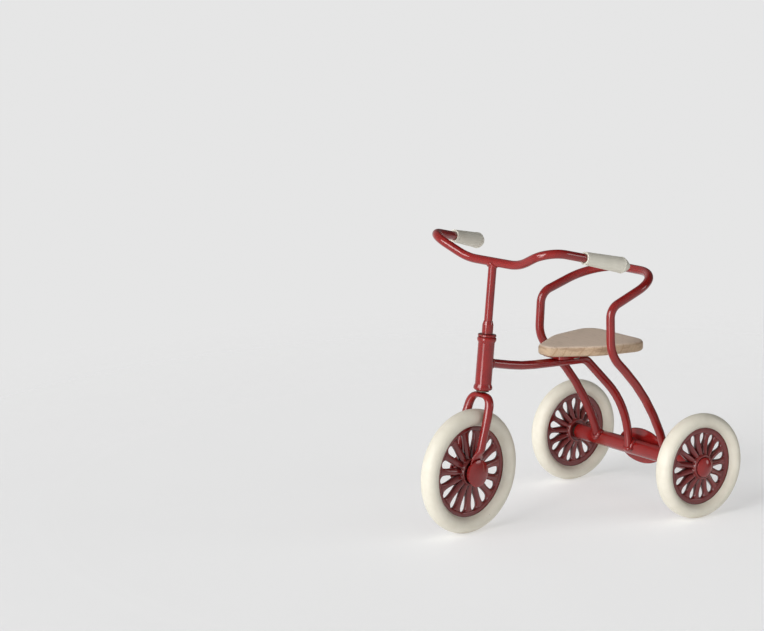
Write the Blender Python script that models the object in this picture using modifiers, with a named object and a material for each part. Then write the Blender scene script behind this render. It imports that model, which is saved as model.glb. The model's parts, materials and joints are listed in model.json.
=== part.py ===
"""A doll-size tricycle: bent-rod frame, wooden seat, three petal-cut wheels, turning handlebar.

Lengths are in millimetres and become metres through MM. The ground is z = 0, the rear axle
stands over y = 0, the tricycle faces -Y and its middle plane is x = 0. The steering parts are
laid out for straight ahead and turned about the steering axis by REST_STEER.
"""

from math import atan2, cos, pi, radians, sin, tan

import bmesh
import bpy
from mathutils import Matrix, Vector

MM = 0.001

# Driving dimensions
GAP = 0.05  # clearance between pieces that touch or turn on each other
ROD_R = 1.34  # every bent rod of the frame
STEM_R = 1.26  # the straight rod of the steering column
WHEELBASE = 66.6
FRONT_WHEEL_R = 19.0
REAR_WHEEL_R = 16.3
REAR_WHEEL_X = 29.5  # middle plane of each rear wheel
STEER_LEAN = radians(5.4)  # the steering axis leans back
REST_STEER = radians(7.0)  # the front wheel rests turned a little to the left
BAR_SET = radians(4.0)  # the handlebar is brazed on a little further round than the fork
HEAD_BOTTOM = Vector((0, -61.1, 43.2))
HEAD_LENGTH = 16.2
STEM_LENGTH = 38.77  # from the head tube's lower end to the handlebar
CROWN_DROP = 1.4  # from the head tube's lower end to the fork crown's middle
AXLE_R = 0.8
AXLE_TUBE_R = 2.45
AXLE_TUBE_HALF = 26.4
HEAD_TUBE_R = 2.5
SEAT_TOP = 53.6
SEAT_THICK = 3.1
SEAT_BOTTOM = SEAT_TOP - SEAT_THICK
BRACKET_TOP = SEAT_BOTTOM - GAP
BRACKET_BOTTOM = 49.46
SCREW_X, SCREW_Y, SCREW_R = 3.0, -27.0, 0.55
GRIP_MOUTH_R, GRIP_R = 1.95, 2.5  # a sleeve that widens towards its end
WASHER_THICK = 0.7  # the washer above the head tube
EYE_X, EYE_R, EYE_HALF = 3.0, 3.6, 0.6  # the fork's ends
CAP_POCKET = 0.5  # how deep the rear axle goes into a cap

# Wheel: seen from its axle, then along it
WEB_HALF = 0.75  # half the thickness of the cut disc
TYRE_HALF = 2.9
RIM_SHARE = 0.735  # where the tyre's lip meets the disc, as a share of the wheel's radius
TYRE_GROOVE = 1.3  # how deep the disc sits in the tyre
PETALS = 15
REAR_HUB_R, REAR_HUB_HALF = 3.8, 2.4
FRONT_HUB_R, FRONT_HUB_HALF = 4.2, 1.8
REAR_PETAL_REACH, FRONT_PETAL_REACH = 0.86, 0.9  # where the holes end, as a share of the lip

# Tessellation
ROD_SIDES = 6  # bevel resolution of a rod: 16 sides
ARC_STEP = radians(11)
WHEEL_STEPS = 36
SMALL_STEPS = 20

HEAD = Matrix.Translation(HEAD_BOTTOM * MM) @ Matrix.Rotation(-STEER_LEAN, 4, "X")
STEERED = HEAD @ Matrix.Rotation(REST_STEER, 4, "Z")
BAR_TURN = HEAD @ Matrix.Rotation(BAR_SET, 4, "Z") @ HEAD.inverted()
ALONG_X = Matrix.Rotation(pi / 2, 4, "Y")
ALONG_MINUS_X = Matrix.Rotation(-pi / 2, 4, "Y")
SIDES = (("left", 1), ("right", -1))


# ---------------------------------------------------------------- scene and materials
def clear_scene():
    for obj in list(bpy.data.objects):
        bpy.data.objects.remove(obj, do_unlink=True)


def new_collection(name):
    collection = bpy.data.collections.new(name)
    bpy.context.scene.collection.children.link(collection)
    return collection


def new_material(name, colour, roughness, metallic=0.0):
    material = bpy.data.materials.new(name)
    material.use_nodes = True
    shader = material.node_tree.nodes["Principled BSDF"]
    shader.inputs["Base Color"].default_value = (*colour, 1.0)
    shader.inputs["Roughness"].default_value = roughness
    shader.inputs["Metallic"].default_value = metallic
    return material


clear_scene()
PARTS = new_collection("tricycle")
CUTTERS = new_collection("cutters")
CUTTERS.hide_render = True
RED_PAINT = new_material("red_enamel", (0.33, 0.025, 0.022), 0.22)
RIM_PAINT = new_material("rim_enamel", (0.22, 0.03, 0.03), 0.35)
CREAM_RUBBER = new_material("cream_rubber", (0.78, 0.74, 0.62), 0.6)
GRIP_RUBBER = new_material("grip_rubber", (0.72, 0.70, 0.62), 0.55)
BEECH = new_material("beech", (0.55, 0.41, 0.28), 0.65)
BARE_STEEL = new_material("bare_steel", (0.45, 0.40, 0.34), 0.4, 1.0)


# ---------------------------------------------------------------- building blocks
def mm(points):
    return [Vector(point) * MM for point in points]


def add_object(name, data, material, matrix=None, collection=None):
    obj = bpy.data.objects.new(name, data)
    (collection or PARTS).objects.link(obj)
    obj.matrix_world = matrix or Matrix.Identity(4)
    if material:
        data.materials.append(material)
    return obj


def bent_path(corners, step=ARC_STEP):
    """Straight runs joined by arcs: each corner is (point, bend radius), the ends have radius 0."""
    points = [Vector(corner) for corner, _ in corners]
    path = [points[0]]
    for before, corner, after, (_, radius) in zip(points, points[1:], points[2:], corners[1:]):
        back, ahead = (before - corner).normalized(), (after - corner).normalized()
        turn = pi - back.angle(ahead)
        if radius == 0 or turn < 1e-4:
            path.append(corner)
            continue
        reach = radius * tan(turn / 2)
        start = corner + back * reach
        centre = corner + (back + ahead).normalized() * radius / cos(turn / 2)
        arm = start - centre
        side = -back
        count = max(2, round(turn / step))
        for i in range(count + 1):
            angle = turn * i / count
            path.append(centre + arm * cos(angle) + side * radius * sin(angle))
    path.append(points[-1])
    return path


def mirror(corners):
    return [((-point[0], *point[1:]), radius) for point, radius in corners]


def as_mesh(obj):
    """The same object with its modifiers and curves turned into one welded mesh."""
    bpy.context.view_layer.update()
    graph = bpy.context.evaluated_depsgraph_get()
    data = bpy.data.meshes.new_from_object(obj.evaluated_get(graph))
    work = bmesh.new()
    work.from_mesh(data)
    bmesh.ops.remove_doubles(work, verts=work.verts, dist=1e-7)
    bmesh.ops.recalc_face_normals(work, faces=work.faces)
    work.to_mesh(data)
    work.free()
    home = obj.users_collection[0]
    name, matrix, material = obj.name, obj.matrix_world.copy(), obj.data.materials[0]
    bpy.data.objects.remove(obj, do_unlink=True)
    data.materials.clear()
    mesh_obj = add_object("swap", data, material, matrix, home)
    mesh_obj.name = name
    data.shade_smooth()
    data.set_sharp_from_angle(angle=radians(40))
    return mesh_obj


def merge_flat_faces(data):
    """Each flat cap becomes one face, so that a bevel runs evenly along its edge."""
    work = bmesh.new()
    work.from_mesh(data)
    bmesh.ops.dissolve_limit(
        work, angle_limit=radians(1), verts=[], edges=work.edges, delimit=set()
    )
    work.to_mesh(data)
    work.free()


def rod(name, path, radius=ROD_R, material=RED_PAINT, matrix=None):
    curve = bpy.data.curves.new(name, "CURVE")
    curve.dimensions = "3D"
    curve.bevel_depth = radius * MM
    curve.bevel_resolution = ROD_SIDES
    curve.use_fill_caps = True
    spline = curve.splines.new("POLY")
    spline.points.add(len(path) - 1)
    for spline_point, point in zip(spline.points, mm(path)):
        spline_point.co = (*point, 1)
    return as_mesh(add_object(name, curve, material, matrix))


def turned(name, profile, material, matrix=None, steps=SMALL_STEPS, closed=False, home=None):
    """A profile of (radius, height) turned about its own Z, running down its outer side."""
    data = bpy.data.meshes.new(name)
    count = len(profile)
    edges = [(i, (i + 1) % count) for i in range(count if closed else count - 1)]
    data.from_pydata([(r * MM, 0, h * MM) for r, h in profile], edges, [])
    obj = add_object(name, data, material, matrix, home)
    screw = obj.modifiers.new("turn", "SCREW")
    screw.axis = "Z"
    screw.angle = 2 * pi
    screw.steps = screw.render_steps = steps
    screw.use_merge_vertices = True
    screw.merge_threshold = 1e-6
    screw.use_smooth_shade = True
    return obj


def ring(name, inner, outer, low, high, material, matrix, chamfer=0.0):
    """A washer or a sleeve with its outer edges eased."""
    profile = [
        (inner, high),
        (outer - chamfer, high),
        (outer, high - chamfer),
        (outer, low + chamfer),
        (outer - chamfer, low),
        (inner, low),
    ]
    if chamfer == 0:
        profile = [(inner, high), (outer, high), (outer, low), (inner, low)]
    return turned(name, profile, material, matrix, closed=True)


def plate(name, outlines, thick, material, matrix, bevel=0.0):
    """A flat outline with holes, in its own XY plane and centred on it."""
    curve = bpy.data.curves.new(name, "CURVE")
    curve.dimensions = "2D"
    curve.fill_mode = "BOTH"
    curve.extrude = thick / 2 * MM
    for outline in outlines:
        spline = curve.splines.new("POLY")
        spline.points.add(len(outline) - 1)
        for spline_point, (x, y) in zip(spline.points, outline):
            spline_point.co = (x * MM, y * MM, 0, 1)
        spline.use_cyclic_u = True
    obj = as_mesh(add_object(name, curve, material, matrix))
    if bevel:
        merge_flat_faces(obj.data)
        edge = obj.modifiers.new("eased edge", "BEVEL")
        edge.width = bevel * MM
        edge.segments = 3
        edge.limit_method = "ANGLE"
        edge.angle_limit = radians(50)
    return obj


def cylinder_cutter(name, radius, start, end, steps=32):
    """A closed cylinder from one point to another, kept out of the render."""
    start, end = Vector(start) * MM, Vector(end) * MM
    data = bpy.data.meshes.new(name)
    work = bmesh.new()
    bmesh.ops.create_cone(
        work, cap_ends=True, segments=steps, radius1=radius * MM, radius2=radius * MM,
        depth=(end - start).length,
    )
    work.to_mesh(data)
    work.free()
    turn = (end - start).to_track_quat("Z", "Y").to_matrix().to_4x4()
    cutter = add_object(name, data, None, Matrix.Translation((start + end) / 2) @ turn, CUTTERS)
    return hide(cutter)


def hide(helper):
    helper.hide_render = True
    helper.display_type = "WIRE"
    return helper


def combine(obj, helper, operation):
    boolean = obj.modifiers.new(helper.name, "BOOLEAN")
    boolean.operation = operation
    boolean.object = helper
    return obj


def circle(radius, count):
    return [(radius * cos(2 * pi * i / count), radius * sin(2 * pi * i / count)) for i in range(count)]


def at(x, y, z, turn=Matrix.Identity(4)):
    return Matrix.Translation(Vector((x, y, z)) * MM) @ turn


def head_point(height):
    """A point of the steering axis, this far above the head tube's lower end."""
    return HEAD_BOTTOM + HEAD.to_3x3() @ Vector((0, 0, height))


# ---------------------------------------------------------------- frame
def head_tube():
    """The steering bearing: a turned tube with a bead at each end and a free bore for the stem."""
    bore, body = STEM_R + GAP, HEAD_TUBE_R
    top_bead, bottom_bead, bead = 2.9, 2.85, 1.8
    profile = [
        (bore, HEAD_LENGTH),
        (body, HEAD_LENGTH),
        (top_bead, HEAD_LENGTH - 0.4),
        (top_bead, HEAD_LENGTH - 1.1),
        (body, HEAD_LENGTH - bead),
        (body, bead),
        (bottom_bead, 0.9),
        (bottom_bead, 0.35),
        (body, 0),
        (bore, 0),
    ]
    return turned("head_tube", profile, RED_PAINT, HEAD, steps=28, closed=True)


def rod_cutters():
    """Cylinders that cope the rods' ends to the head tube and to the axle tube."""
    head = cylinder_cutter(
        "head_cut", HEAD_TUBE_R + GAP, HEAD_BOTTOM, head_point(HEAD_LENGTH)
    )
    ends = [(sign * AXLE_TUBE_HALF, 0, REAR_WHEEL_R) for _, sign in SIDES]
    return head, cylinder_cutter("axle_cut", AXLE_TUBE_R + GAP, *ends)


def main_tube(head_cut, axle_cut):
    """The backbone: from the head tube back under the seat, then down to the axle tube."""
    corners = [
        ((0, -61.0, 51.6), 0),
        ((0, -46.0, 48.45), 60),
        ((0, -20.7, 47.4), 5),
        ((0, -2.4, 29.4), 30),
        ((0, -2.4, 16.6), 0),
    ]
    tube = rod("main_tube", bent_path(corners))
    combine(tube, head_cut, "DIFFERENCE")
    return combine(tube, axle_cut, "DIFFERENCE")


def backrest_hoop(axle_cut):
    """One rod that rises from the axle tube past both sides of the seat and loops round the back.

    It is bent by hand: the left back corner stands a little higher and further forward.
    """
    lower = [
        ((16.2, -25.0, 66.1), 4.5),
        ((16.9, -25.2, 52.0), 10),
        ((16.5, -7.2, 34.4), 70),
        ((16.0, -0.9, 16.4), 0),
    ]
    left_corner, right_corner = ((15.8, -3.7, 74.1), 11.5), ((15.7, -2.3, 73.2), 12.5)
    left, right = [left_corner] + lower, mirror([right_corner] + lower)
    hoop = rod("backrest_hoop", bent_path(left[::-1] + right))
    return combine(hoop, axle_cut, "DIFFERENCE")


def axle_tube():
    place = at(0, 0, REAR_WHEEL_R, ALONG_X)
    return ring(
        "axle_tube", AXLE_R + GAP, AXLE_TUBE_R, -AXLE_TUBE_HALF, AXLE_TUBE_HALF, RED_PAINT, place, 0.3
    )


def rear_plate():
    """A plain oval plate on the back of the axle tube."""
    width, height, thick = 20.2, 10.9, 1.0
    outline = [(x * width / 2, y * height / 2) for x, y in circle(1, 44)]
    middle = AXLE_TUBE_R + 2 * GAP + thick / 2
    turn = Matrix.Rotation(pi / 2, 4, "X")
    return plate("rear_plate", [outline], thick, RED_PAINT, at(0, middle, REAR_WHEEL_R, turn), 0.25)


def screw_holes():
    return [
        cylinder_cutter(
            f"screw_cut_{side}", SCREW_R + GAP, (SCREW_X * sign, SCREW_Y, BRACKET_BOTTOM - 1),
            (SCREW_X * sign, SCREW_Y, SEAT_BOTTOM + 2.3), steps=16,
        )
        for side, sign in SIDES
    ]


def seat_bracket(holes):
    """A flat strip on top of the main tube that carries the seat."""
    half_width, front, back, corner = 4.6, -34.5, -19.0, 1.5
    half = [
        ((0, front, 0), 0),
        ((half_width, front, 0), corner),
        ((half_width, back, 0), corner),
        ((0, back, 0), 0),
    ]
    place = at(0, 0, (BRACKET_TOP + BRACKET_BOTTOM) / 2)
    thick = BRACKET_TOP - BRACKET_BOTTOM
    strip = plate("seat_bracket", [closed_outline(half)], thick, RED_PAINT, place)
    for hole in holes:
        combine(strip, hole, "DIFFERENCE")
    return strip


def closed_outline(half):
    """A half outline that crosses x = 0 squarely at both ends, closed with its mirror image."""
    right = [(point.x, point.y) for point in bent_path(half)[1:-1]]
    left = [(-x, y) for x, y in reversed(right)]
    return right + left


def seat(holes):
    """A beech board, narrow at the nose and wide at the back, with eased edges."""
    half = [
        ((0, -37.7, 0), 0),
        ((2.8, -37.7, 0), 3.2),
        ((11.3, -24.5, 0), 16),
        ((14.5, -6.3, 0), 5.2),
        ((0, -6.3, 0), 0),
    ]
    middle = (SEAT_TOP + SEAT_BOTTOM) / 2
    board = plate("seat", [closed_outline(half)], SEAT_THICK, BEECH, at(0, 0, middle), 0.8)
    for hole in holes:
        combine(board, hole, "DIFFERENCE")
    return board


def seat_screws():
    """Pan-head screws from below, one on each side of the main tube."""
    head_r, head_h, length = 1.1, 0.7, 2.9
    profile = [
        (0, length),
        (SCREW_R, length - 0.4),
        (SCREW_R, 0),
        (head_r, 0),
        (head_r, -0.4),
        (0.8, -head_h),
        (0, -head_h),
    ]
    for side, sign in SIDES:
        place = at(SCREW_X * sign, SCREW_Y, BRACKET_BOTTOM - GAP)
        turned(f"seat_screw_{side}", profile, BARE_STEEL, place, steps=16)


def rear_axle():
    """A plain pin through the axle tube and both wheels, with a domed cap pressed on each end."""
    hub_face = REAR_WHEEL_X + REAR_HUB_HALF + GAP
    half = hub_face + CAP_POCKET - GAP
    profile = [(0, half), (AXLE_R, half), (AXLE_R, -half), (0, -half)]
    turned("rear_axle", profile, BARE_STEEL, at(0, 0, REAR_WHEEL_R, ALONG_X), steps=18)
    for side, sign in SIDES:
        out = ALONG_X if sign > 0 else ALONG_MINUS_X
        washer = at(0, 0, REAR_WHEEL_R, out)
        low, high = AXLE_TUBE_HALF + GAP, REAR_WHEEL_X - REAR_HUB_HALF - GAP
        ring(f"rear_washer_{side}", AXLE_R + GAP, 2.2, low, high, BARE_STEEL, washer)
        cap = at(sign * hub_face, 0, REAR_WHEEL_R, out)
        domed_cap(f"hub_cap_{side}", 3.05, 1.45, 0.4, CAP_POCKET, cap)


def domed_cap(name, radius, height, edge, pocket, place):
    """A full low dome on a short edge, with a blind pocket in its back for the end of an axle."""
    arc = []
    for angle in (0, 22, 44, 64, 80, 90):
        share = sin(radians(angle))
        arc.append((radius * share, edge + (height - edge) * (1 - share * share) ** 0.82))
    back = [(radius, 0), (AXLE_R + GAP, 0), (AXLE_R + GAP, pocket), (0, pocket)]
    return turned(name, arc + back, RED_PAINT, place, steps=24)


# ---------------------------------------------------------------- wheels
def petal(direction, inner, outer, half_width):
    """A drop-shaped hole: a point near the hub and a round end near the rim."""
    centre = outer - half_width
    shape = [(inner, 0.0)]
    for i in range(6):
        angle = radians(-105 + 42 * i)
        shape.append((centre + half_width * cos(angle), half_width * sin(angle)))
    turn = Matrix.Rotation(direction, 2)
    return [tuple(turn @ Vector(point)) for point in shape]


def rim(name, wheel_r, hub_r, hub_half, place, first_petal, reach):
    """A disc with a ring of petal-shaped holes and a hub that runs on the axle."""
    lip = wheel_r * RIM_SHARE
    outlines = [circle(lip + TYRE_GROOVE - GAP, WHEEL_STEPS), circle(hub_r - 1.0, 18)]
    pitch = 2 * pi / PETALS
    half_width = 0.2 * pitch * lip
    for i in range(PETALS):
        outlines.append(petal(first_petal + pitch * i, hub_r + 0.6, lip * reach, half_width))
    disc = plate(name, outlines, 2 * WEB_HALF, RIM_PAINT, place)
    bore, step = AXLE_R + GAP, 0.5  # step is the chamfer on the hub's edge
    profile = [
        (bore, hub_half),
        (hub_r - step, hub_half),
        (hub_r, hub_half - step),
        (hub_r, step - hub_half),
        (hub_r - step, -hub_half),
        (bore, -hub_half),
    ]
    hub = hide(turned(f"{name}_hub", profile, None, place, 24, closed=True, home=CUTTERS))
    return combine(disc, hub, "UNION")


def tyre(name, wheel_r, place):
    """A round-backed rubber ring with a groove that holds the disc's edge."""
    lip = wheel_r * RIM_SHARE
    middle, height = (wheel_r + lip) / 2, (wheel_r - lip) / 2
    groove, wall = lip + TYRE_GROOVE, WEB_HALF + GAP
    start = atan2(wall, TYRE_HALF) * 0.6
    profile = []
    count = 9
    for i in range(count):
        angle = (pi - start) * (1 - 2 * i / (count - 1))
        profile.append((middle + height * cos(angle), TYRE_HALF * sin(angle)))
    profile[0] = (lip, wall)
    profile[-1] = (lip, -wall)
    profile += [(groove, -wall), (groove, wall)]
    return turned(name, profile, CREAM_RUBBER, place, WHEEL_STEPS, closed=True)


def rear_wheels():
    for (side, sign), first_petal in zip(SIDES, (radians(6), radians(12))):
        place = at(sign * REAR_WHEEL_X, 0, REAR_WHEEL_R, ALONG_X)
        hub = (REAR_HUB_R, REAR_HUB_HALF)
        rim(f"rear_rim_{side}", REAR_WHEEL_R, *hub, place, first_petal, REAR_PETAL_REACH)
        tyre(f"rear_tyre_{side}", REAR_WHEEL_R, place)


def front_wheel():
    place = at(0, -WHEELBASE, FRONT_WHEEL_R, ALONG_X)
    hub = (FRONT_HUB_R, FRONT_HUB_HALF)
    body = rim("front_rim", FRONT_WHEEL_R, *hub, place, radians(9.5), FRONT_PETAL_REACH)
    return [body, tyre("front_tyre", FRONT_WHEEL_R, place)]


# ------------------------------------------------- steering parts, laid out straight ahead
def fork():
    """One rod bent over the front wheel, flattened at the crown and into an eye at each end."""
    crown = head_point(-CROWN_DROP)
    half = [
        ((3.85, crown.y - 0.3, crown.z - 0.1), 3.75),
        ((4.5, -63.6, 35.5), 12),
        ((4.4, -66.1, 26.4), 3),
        ((EYE_X + 0.4, -WHEELBASE + 0.15, 23.6), 0),
        ((EYE_X + 0.05, -WHEELBASE + 0.05, 22.2), 0),
        ((EYE_X, -WHEELBASE, FRONT_WHEEL_R), 0),
    ]
    body = rod("fork", bent_path(mirror(half)[::-1] + half))
    flat = 0.85 / ROD_R  # the crown is pressed to this share of its height
    for vertex in body.data.vertices:
        point = vertex.co / MM
        near_crown = max(0.0, min(1.0, (point.z - crown.z + 4.2) / 3.0))
        share = near_crown * near_crown * (3 - 2 * near_crown) * max(0.0, 1 - abs(point.x) / 5.0)
        squeeze = 1 + (flat - 1) * min(1.0, 1.6 * share)
        vertex.co.z = (crown.z + (point.z - crown.z) * squeeze) * MM
        near_eye = max(0.0, min(1.0, (26.4 - point.z) / 2.8))
        side = EYE_X if point.x > 0 else -EYE_X
        vertex.co.x = (point.x + (side + (point.x - side) * 0.35 - point.x) * near_eye) * MM
    for side, sign in SIDES:
        place = at(sign * EYE_X, -WHEELBASE, FRONT_WHEEL_R, ALONG_X)
        profile = [(0, EYE_HALF), (EYE_R, EYE_HALF), (EYE_R, -EYE_HALF), (0, -EYE_HALF)]
        combine(body, hide(turned(f"eye_{side}", profile, None, place, 24, home=CUTTERS)), "UNION")
    ends = [(sign * 2 * EYE_X, -WHEELBASE, FRONT_WHEEL_R) for _, sign in SIDES]
    bore = cylinder_cutter("fork_bore", AXLE_R + GAP, *ends, 18)
    return combine(body, bore, "DIFFERENCE")


def front_axle():
    """The front wheel's pin, its domed caps and the spacers that keep the wheel central."""
    end = EYE_X + EYE_HALF + GAP + 0.4
    profile = [(0, end), (AXLE_R, end), (AXLE_R, -end), (0, -end)]
    centre = at(0, -WHEELBASE, FRONT_WHEEL_R, ALONG_X)
    pieces = [turned("front_axle", profile, BARE_STEEL, centre, steps=18)]
    low, high = FRONT_HUB_HALF + GAP, EYE_X - EYE_HALF - GAP
    for side, sign in SIDES:
        out = ALONG_X if sign > 0 else ALONG_MINUS_X
        spacer_place = at(0, -WHEELBASE, FRONT_WHEEL_R, out)
        pieces.append(
            ring(f"front_spacer_{side}", AXLE_R + GAP, 2.4, low, high, BARE_STEEL, spacer_place)
        )
        cap_place = at(sign * (EYE_X + EYE_HALF + GAP), -WHEELBASE, FRONT_WHEEL_R, out)
        pieces.append(domed_cap(f"front_cap_{side}", 4.1, 1.05, 0.45, 0.45, cap_place))
    return pieces


def stem():
    """The steering column: a straight rod through the head tube, coped to the handlebar."""
    low = 0.85 + 2 * GAP - CROWN_DROP
    profile = [(0, STEM_LENGTH), (STEM_R, STEM_LENGTH), (STEM_R, low), (0, low)]
    column = turned("stem", profile, RED_PAINT, HEAD, steps=24)
    bar = head_point(STEM_LENGTH)
    reach = BAR_TURN.to_3x3() @ Vector((4, 0, 0))
    cope = cylinder_cutter("stem_cope", ROD_R + GAP, bar - reach, bar + reach)
    return combine(column, cope, "DIFFERENCE")


def stem_fittings():
    inner = STEM_R + GAP
    lower = ring("lower_washer", inner, 1.95, -0.45, -GAP, BARE_STEEL, HEAD)
    top_low = HEAD_LENGTH + GAP
    top_high = top_low + WASHER_THICK
    top = ring("top_washer", inner, 2.8, top_low, top_high, BARE_STEEL, HEAD, 0.15)
    low, high, outer = top_high + GAP, 20.9, 1.68
    collar_profile = [
        (inner, high),
        (inner + 0.15, high),
        (outer, high - 1.1),
        (outer, low),
        (inner, low),
    ]
    collar = turned("stem_collar", collar_profile, RED_PAINT, HEAD, steps=24, closed=True)
    return [lower, top, collar]


BAR_ENDS = {  # bent by hand: the shoulder, the grip's end and the grip's length, each side
    "left": (Vector((22.6, -59.5, 88.35)), Vector((28.4, -28.5, 80.35)), 18.0),
    "right": (Vector((-23.7, -60.2, 88.35)), Vector((-28.6, -29.0, 80.35)), 17.2),
}


def handlebar():
    """One rod: level at the stem, up and out to a shoulder, then back and down into each grip."""
    middle = head_point(STEM_LENGTH)
    corners = []
    for side, sign in SIDES:
        shoulder, grip_end, _ = BAR_ENDS[side]
        end = grip_end - (grip_end - shoulder).normalized() * 2.0
        half = [((10.0 * sign, middle.y, middle.z), 14), (tuple(shoulder), 6.5), (tuple(end), 0)]
        corners = half[::-1] + corners if sign > 0 else corners + half
    return rod("handlebar", bent_path(corners), matrix=BAR_TURN)


def grip_profile(length):
    """Sleeve over the bar: a barrel that widens from its mouth, and a tapered, closed end."""
    bore, depth = ROD_R + GAP, length - 1.6
    return [
        (0, length),
        (0.9, length - 0.1),
        (1.45, length - 0.5),
        (1.7, length - 1.2),
        (2.1, length - 2.0),
        (GRIP_R, length - 2.9),
        (GRIP_MOUTH_R, 0.3),
        (GRIP_MOUTH_R - 0.15, 0),
        (bore, 0),
        (bore, depth),
        (0, depth),
    ]


def grips():
    pieces = []
    for side, (shoulder, end, length) in BAR_ENDS.items():
        along = (end - shoulder).normalized()
        turn = along.to_track_quat("Z", "Y").to_matrix().to_4x4()
        place = BAR_TURN @ at(*(end - along * length), turn)
        pieces.append(turned(f"grip_{side}", grip_profile(length), GRIP_RUBBER, place, steps=22))
    return pieces


def steer(pieces):
    """Hang the steering parts and their cutters on an empty that stands on the steering axis."""
    axis = bpy.data.objects.new("steering_axis", None)
    PARTS.objects.link(axis)
    axis.matrix_world = STEERED
    helpers = [obj for obj in CUTTERS.objects if obj.name in STEERED_HELPERS]
    for obj in pieces + helpers:
        obj.parent = axis
        obj.matrix_parent_inverse = HEAD.inverted()


STEERED_HELPERS = ("front_rim_hub", "eye_left", "eye_right", "fork_bore", "stem_cope")


def build():
    head_cut, axle_cut = rod_cutters()
    holes = screw_holes()
    head_tube()
    main_tube(head_cut, axle_cut)
    backrest_hoop(axle_cut)
    axle_tube()
    rear_plate()
    seat_bracket(holes)
    seat(holes)
    seat_screws()
    rear_axle()
    rear_wheels()
    steering = [fork(), stem(), handlebar(), *stem_fittings(), *grips()]
    steer(steering + front_axle() + front_wheel())


build()
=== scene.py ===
"""The looks of the doll-size tricycle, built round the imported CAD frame.

Lengths are in millimetres and become metres through MM. The axes are the CAD model's: the ground
is z = 0, the rear axle stands over y = 0 and the tricycle faces -Y. Round pieces are made again
here with finer steps, petal-cut wheels with their raised spokes, and welds as pieces of their own.
"""

import json
from math import cos, hypot, pi, radians, sin, sqrt, tan

import bmesh
import bpy
from mathutils import Matrix, Vector, noise

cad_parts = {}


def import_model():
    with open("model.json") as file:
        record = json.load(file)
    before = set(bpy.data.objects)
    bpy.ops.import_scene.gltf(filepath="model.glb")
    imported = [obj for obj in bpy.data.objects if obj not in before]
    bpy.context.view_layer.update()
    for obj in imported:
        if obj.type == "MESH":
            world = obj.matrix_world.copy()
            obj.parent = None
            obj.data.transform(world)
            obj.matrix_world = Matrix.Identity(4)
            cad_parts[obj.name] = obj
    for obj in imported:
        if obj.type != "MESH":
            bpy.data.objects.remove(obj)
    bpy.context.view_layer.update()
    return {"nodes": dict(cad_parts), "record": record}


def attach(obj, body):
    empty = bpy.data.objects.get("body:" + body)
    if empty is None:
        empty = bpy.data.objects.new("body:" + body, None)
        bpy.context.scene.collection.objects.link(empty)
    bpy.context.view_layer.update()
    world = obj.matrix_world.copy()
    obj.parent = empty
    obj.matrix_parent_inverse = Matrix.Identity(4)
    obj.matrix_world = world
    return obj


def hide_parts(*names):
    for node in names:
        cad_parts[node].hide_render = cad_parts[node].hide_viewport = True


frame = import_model()

MM = 0.001
GAP = 0.05  # clearance between pieces that touch or turn on each other

# The same driving dimensions as the CAD model's
ROD_R = 1.34  # every bent rod of the frame
STEM_R = 1.26  # the straight rod of the steering column
STEER_LEAN = radians(5.4)  # the steering axis leans back
REST_STEER = radians(7.0)  # the front wheel rests turned a little to the left
BAR_SET = radians(4.0)  # the handlebar is brazed on a little further round than the fork
HEAD_BOTTOM = Vector((0, -61.1, 43.2))
HEAD_LENGTH = 16.2
HEAD_TUBE_R = 2.5
WASHER_THICK = 0.7  # the washer above the head tube
STEM_LENGTH = 38.77  # from the head tube's lower end to the handlebar
CROWN_DROP = 1.4  # from the head tube's lower end to the fork crown's middle
CROWN_HALF = 0.85  # half the fork's height where it is pressed flat
WHEELBASE = 66.6
FRONT_WHEEL_R = 19.0
REAR_WHEEL_R = 16.3
REAR_WHEEL_X = 29.5  # middle plane of each rear wheel
AXLE_R = 0.8
AXLE_TUBE_R = 2.45
AXLE_TUBE_HALF = 26.4
SEAT_TOP = 53.6
SEAT_THICK = 3.1
WEB_HALF = 0.75  # half the thickness of the cut disc
TYRE_HALF = 2.9
RIM_SHARE = 0.735  # where the tyre's lip meets the disc, as a share of the wheel's radius
PETALS = 15
REAR_PETAL_REACH, FRONT_PETAL_REACH = 0.86, 0.9  # where the holes end, as a share of the lip
REAR_HUB_R, REAR_HUB_HALF = 3.8, 2.4
FRONT_HUB_R, FRONT_HUB_HALF = 4.2, 1.8
EYE_X, EYE_R, EYE_HALF = 3.0, 3.6, 0.6  # the fork's ends

# Details that only the visible wheels have
HOLE_START = 0.25  # from the hub to the pointed ends of the holes
HOLE_SHARE = 0.205  # half a hole's greatest width, as a share of the holes' pitch at the lip
HOLE_EDGE = 0.25  # half the thickness left at a hole's edge
FLANK = 0.34  # how far a rib's rounded flank reaches in from a hole, where the ribs are low
FLANK_STEPS = (0.0, 0.10, 0.28, 0.60, 1.0)
TYRE_OVERLAP = 0.9  # how deep the wheel body sits in the visible tyre

# The radii of the weld beads
THIN_BEAD, FULL_BEAD = 0.5, 0.8

# Light
BACKDROP = 0.79
WINDOW_LIGHT = 8.0
GROUND_LIGHT = 0.74
FLOOR_GLOW = 0.405
FLOOR_R = 320
FLOOR_FADE = (180, 300)  # where the floor starts to fade, and where it is gone

HEAD = Matrix.Translation(HEAD_BOTTOM) @ Matrix.Rotation(-STEER_LEAN, 4, "X")
STEERED = HEAD @ Matrix.Rotation(REST_STEER, 4, "Z") @ HEAD.inverted()
BAR_TURN = HEAD @ Matrix.Rotation(REST_STEER + BAR_SET, 4, "Z") @ HEAD.inverted()
ALONG_X = Matrix.Rotation(pi / 2, 4, "Y")
OUTWARDS = {"left": ALONG_X, "right": Matrix.Rotation(-pi / 2, 4, "Y")}
SIDES = (("left", 1), ("right", -1))


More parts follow.
